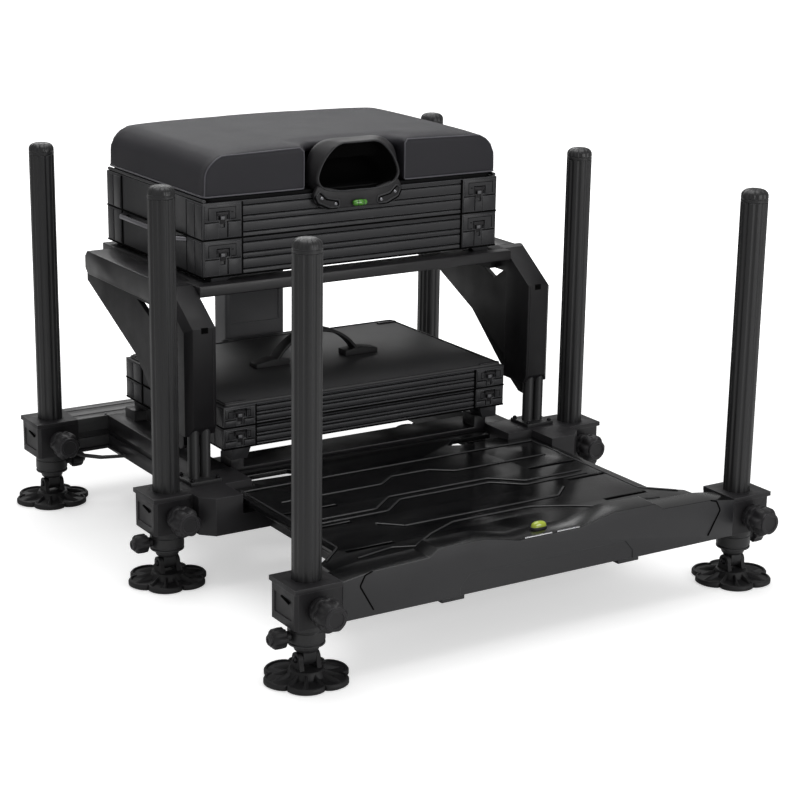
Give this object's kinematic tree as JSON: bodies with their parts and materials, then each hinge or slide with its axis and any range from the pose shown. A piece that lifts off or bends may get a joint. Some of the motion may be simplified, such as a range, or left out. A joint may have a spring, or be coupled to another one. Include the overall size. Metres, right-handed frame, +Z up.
{
  "type": "fishing seat box",
  "caption": "Fishing seat box: a padded seat with stacked trays on a low frame with telescopic legs, mud feet, a sliding footplate and a pull-out tray stack.",
  "frame": {"origin": "on the ground under the middle of the outline", "axes": "+X to the sitter's left across the seat, -Y to the front where the footplate is, +Z up"},
  "size_m": [0.7736, 0.8904, 0.565],
  "materials": {
    "frame_metal": "satin black powder coat",
    "leg_metal": "satin black anodised tube",
    "black_plastic": "moulded black nylon",
    "gloss_plate": "gloss black moulding",
    "cushion_cover": "padded black leather cloth",
    "grip_metal": "satin aluminium",
    "rubber_black": "matt rubber",
    "vial_green": "clear green vial"
  },
  "bodies": {
    "frame": {"rear_beam": "frame_metal", "side_rails": "frame_metal", "middle_bar": "frame_metal", "rear_clamp_blocks": "black_plastic", "middle_clamp_blocks": "black_plastic", "slide_channels": "frame_metal", "rear_post": "black_plastic", "upright_columns": "frame_metal", "side_brackets": "black_plastic", "upper_side_rails": "frame_metal", "upper_cross_rails": "frame_metal"},
    "footplate_unit": {"footplate": "gloss_plate", "front_beam": "frame_metal", "front_clamp_blocks": "black_plastic", "slide_bars": "frame_metal", "footplate_level": "vial_green"},
    "leg_body_rear_left": {"leg_rear_left": "leg_metal"},
    "clamp_knob_body_rear_left": {"clamp_knob_rear_left": "black_plastic"},
    "foot_knob_body_rear_left": {"foot_knob_rear_left": "black_plastic"},
    "foot_body_rear_left": {"foot_rear_left": "black_plastic"},
    "leg_body_rear_right": {"leg_rear_right": "leg_metal"},
    "clamp_knob_body_rear_right": {"clamp_knob_rear_right": "black_plastic"},
    "foot_knob_body_rear_right": {"foot_knob_rear_right": "black_plastic"},
    "foot_body_rear_right": {"foot_rear_right": "black_plastic"},
    "leg_body_middle_left": {"leg_middle_left": "leg_metal"},
    "clamp_knob_body_middle_left": {"clamp_knob_middle_left": "black_plastic"},
    "foot_knob_body_middle_left": {"foot_knob_middle_left": "black_plastic"},
    "foot_body_middle_left": {"foot_middle_left": "black_plastic"},
    "leg_body_middle_right": {"leg_middle_right": "leg_metal"},
    "clamp_knob_body_middle_right": {"clamp_knob_middle_right": "black_plastic"},
    "foot_knob_body_middle_right": {"foot_knob_middle_right": "black_plastic"},
    "foot_body_middle_right": {"foot_middle_right": "black_plastic"},
    "leg_body_front_left": {"leg_front_left": "leg_metal"},
    "clamp_knob_body_front_left": {"clamp_knob_front_left": "black_plastic"},
    "foot_knob_body_front_left": {"foot_knob_front_left": "black_plastic"},
    "foot_body_front_left": {"foot_front_left": "black_plastic"},
    "leg_body_front_right": {"leg_front_right": "leg_metal"},
    "clamp_knob_body_front_right": {"clamp_knob_front_right": "black_plastic"},
    "foot_knob_body_front_right": {"foot_knob_front_right": "black_plastic"},
    "foot_body_front_right": {"foot_front_right": "black_plastic"},
    "seat_lower_tray": {"seat_tray_bottom": "black_plastic", "side_handle_left": "grip_metal", "side_handle_right": "grip_metal"},
    "seat_upper_tray": {"seat_tray_top": "black_plastic"},
    "seat": {"seat_base": "black_plastic", "seat_cushion": "cushion_cover", "pole_rest": "black_plastic", "pole_rest_level": "vial_green"},
    "store_lower_tray": {"lower_tray_bottom": "black_plastic"},
    "store_upper_tray": {"lower_tray_top": "black_plastic"},
    "store_lid": {"lower_lid": "gloss_plate", "lid_handle": "rubber_black"},
    "seat_bottom_latch_left_body": {"seat_bottom_latch_left": "black_plastic"},
    "seat_bottom_latch_right_body": {"seat_bottom_latch_right": "black_plastic"},
    "seat_top_latch_left_body": {"seat_top_latch_left": "black_plastic"},
    "seat_top_latch_right_body": {"seat_top_latch_right": "black_plastic"},
    "lower_bottom_latch_left_body": {"lower_bottom_latch_left": "black_plastic"},
    "lower_bottom_latch_right_body": {"lower_bottom_latch_right": "black_plastic"},
    "lower_top_latch_left_body": {"lower_top_latch_left": "black_plastic"},
    "lower_top_latch_right_body": {"lower_top_latch_right": "black_plastic"}
  },
  "joints": [
    {"name": "footplate_slide", "type": "slide", "parent": "frame", "child": "footplate_unit", "axis": [0, -1, 0], "range_m": [0, 0.12]},
    {"name": "leg_slide_rear_left", "type": "slide", "parent": "frame", "child": "leg_body_rear_left", "axis": [0, 0, -1], "range_m": [0, 0.35]},
    {"name": "clamp_knob_turn_rear_left", "type": "hinge", "parent": "frame", "child": "clamp_knob_body_rear_left", "pos_m": [-0.334, 0.351, 0.099], "axis": [0, -1, 0], "continuous": true},
    {"name": "foot_knob_turn_rear_left", "type": "hinge", "parent": "leg_body_rear_left", "child": "foot_knob_body_rear_left", "pos_m": [-0.304, 0.391, 0.059], "axis": [1, 0, 0], "continuous": true},
    {"name": "foot_tilt_rear_left", "type": "hinge", "parent": "leg_body_rear_left", "child": "foot_body_rear_left", "pos_m": [-0.334, 0.391, 0.027], "axis": [1, 0, 0], "range_deg": [-15, 15]},
    {"name": "leg_slide_rear_right", "type": "slide", "parent": "frame", "child": "leg_body_rear_right", "axis": [0, 0, -1], "range_m": [0, 0.35]},
    {"name": "clamp_knob_turn_rear_right", "type": "hinge", "parent": "frame", "child": "clamp_knob_body_rear_right", "pos_m": [0.334, 0.351, 0.099], "axis": [0, -1, 0], "continuous": true},
    {"name": "foot_knob_turn_rear_right", "type": "hinge", "parent": "leg_body_rear_right", "child": "foot_knob_body_rear_right", "pos_m": [0.304, 0.391, 0.059], "axis": [-1, 0, 0], "continuous": true},
    {"name": "foot_tilt_rear_right", "type": "hinge", "parent": "leg_body_rear_right", "child": "foot_body_rear_right", "pos_m": [0.334, 0.391, 0.027], "axis": [1, 0, 0], "range_deg": [-15, 15]},
    {"name": "leg_slide_middle_left", "type": "slide", "parent": "frame", "child": "leg_body_middle_left", "axis": [0, 0, -1], "range_m": [0, 0.35]},
    {"name": "clamp_knob_turn_middle_left", "type": "hinge", "parent": "frame", "child": "clamp_knob_body_middle_left", "pos_m": [-0.334, -0.039, 0.099], "axis": [0, -1, 0], "continuous": true},
    {"name": "foot_knob_turn_middle_left", "type": "hinge", "parent": "leg_body_middle_left", "child": "foot_knob_body_middle_left", "pos_m": [-0.364, 0.001, 0.059], "axis": [-1, 0, 0], "continuous": true},
    {"name": "foot_tilt_middle_left", "type": "hinge", "parent": "leg_body_middle_left", "child": "foot_body_middle_left", "pos_m": [-0.334, 0.001, 0.027], "axis": [1, 0, 0], "range_deg": [-15, 15]},
    {"name": "leg_slide_middle_right", "type": "slide", "parent": "frame", "child": "leg_body_middle_right", "axis": [0, 0, -1], "range_m": [0, 0.35]},
    {"name": "clamp_knob_turn_middle_right", "type": "hinge", "parent": "frame", "child": "clamp_knob_body_middle_right", "pos_m": [0.334, -0.039, 0.099], "axis": [0, -1, 0], "continuous": true},
    {"name": "foot_knob_turn_middle_right", "type": "hinge", "parent": "leg_body_middle_right", "child": "foot_knob_body_middle_right", "pos_m": [0.364, 0.001, 0.059], "axis": [1, 0, 0], "continuous": true},
    {"name": "foot_tilt_middle_right", "type": "hinge", "parent": "leg_body_middle_right", "child": "foot_body_middle_right", "pos_m": [0.334, 0.001, 0.027], "axis": [1, 0, 0], "range_deg": [-15, 15]},
    {"name": "leg_slide_front_left", "type": "slide", "parent": "footplate_unit", "child": "leg_body_front_left", "axis": [0, 0, -1], "range_m": [0, 0.35]},
    {"name": "clamp_knob_turn_front_left", "type": "hinge", "parent": "footplate_unit", "child": "clamp_knob_body_front_left", "pos_m": [-0.334, -0.415, 0.099], "axis": [0, -1, 0], "continuous": true},
    {"name": "foot_knob_turn_front_left", "type": "hinge", "parent": "leg_body_front_left", "child": "foot_knob_body_front_left", "pos_m": [-0.364, -0.375, 0.059], "axis": [-1, 0, 0], "continuous": true},
    {"name": "foot_tilt_front_left", "type": "hinge", "parent": "leg_body_front_left", "child": "foot_body_front_left", "pos_m": [-0.334, -0.375, 0.027], "axis": [1, 0, 0], "range_deg": [-15, 15]},
    {"name": "leg_slide_front_right", "type": "slide", "parent": "footplate_unit", "child": "leg_body_front_right", "axis": [0, 0, -1], "range_m": [0, 0.35]},
    {"name": "clamp_knob_turn_front_right", "type": "hinge", "parent": "footplate_unit", "child": "clamp_knob_body_front_right", "pos_m": [0.334, -0.415, 0.099], "axis": [0, -1, 0], "continuous": true},
    {"name": "foot_knob_turn_front_right", "type": "hinge", "parent": "leg_body_front_right", "child": "foot_knob_body_front_right", "pos_m": [0.364, -0.375, 0.059], "axis": [1, 0, 0], "continuous": true},
    {"name": "foot_tilt_front_right", "type": "hinge", "parent": "leg_body_front_right", "child": "foot_body_front_right", "pos_m": [0.334, -0.375, 0.027], "axis": [1, 0, 0], "range_deg": [-15, 15]},
    {"name": "seat_lift", "type": "slide", "parent": "frame", "child": "seat_lower_tray", "axis": [0, 0, 1], "range_m": [0, 0.1]},
    {"name": "seat_tray_lift", "type": "slide", "parent": "seat_lower_tray", "child": "seat_upper_tray", "axis": [0, 0, 1], "range_m": [0, 0.06]},
    {"name": "seat_hinge", "type": "hinge", "parent": "seat_upper_tray", "child": "seat", "pos_m": [0, 0.383, 0.493], "axis": [-1, 0, 0], "range_deg": [0, 80]},
    {"name": "store_slide", "type": "slide", "parent": "frame", "child": "store_lower_tray", "axis": [0, -1, 0], "range_m": [0, 0.25]},
    {"name": "store_tray_lift", "type": "slide", "parent": "store_lower_tray", "child": "store_upper_tray", "axis": [0, 0, 1], "range_m": [0, 0.06]},
    {"name": "lid_hinge", "type": "hinge", "parent": "store_upper_tray", "child": "store_lid", "pos_m": [0, 0.346, 0.219], "axis": [-1, 0, 0], "range_deg": [0, 20]},
    {"name": "seat_bottom_latch_slide_left", "type": "slide", "parent": "seat_lower_tray", "child": "seat_bottom_latch_left_body", "axis": [0, 0, -1], "range_m": [0, 0.005]},
    {"name": "seat_bottom_latch_slide_right", "type": "slide", "parent": "seat_lower_tray", "child": "seat_bottom_latch_right_body", "axis": [0, 0, -1], "range_m": [0, 0.005]},
    {"name": "seat_top_latch_slide_left", "type": "slide", "parent": "seat_upper_tray", "child": "seat_top_latch_left_body", "axis": [0, 0, -1], "range_m": [0, 0.005]},
    {"name": "seat_top_latch_slide_right", "type": "slide", "parent": "seat_upper_tray", "child": "seat_top_latch_right_body", "axis": [0, 0, -1], "range_m": [0, 0.005]},
    {"name": "lower_bottom_latch_slide_left", "type": "slide", "parent": "store_lower_tray", "child": "lower_bottom_latch_left_body", "axis": [0, 0, -1], "range_m": [0, 0.005]},
    {"name": "lower_bottom_latch_slide_right", "type": "slide", "parent": "store_lower_tray", "child": "lower_bottom_latch_right_body", "axis": [0, 0, -1], "range_m": [0, 0.005]},
    {"name": "lower_top_latch_slide_left", "type": "slide", "parent": "store_upper_tray", "child": "lower_top_latch_left_body", "axis": [0, 0, -1], "range_m": [0, 0.005]},
    {"name": "lower_top_latch_slide_right", "type": "slide", "parent": "store_upper_tray", "child": "lower_top_latch_right_body", "axis": [0, 0, -1], "range_m": [0, 0.005]}
  ]
}
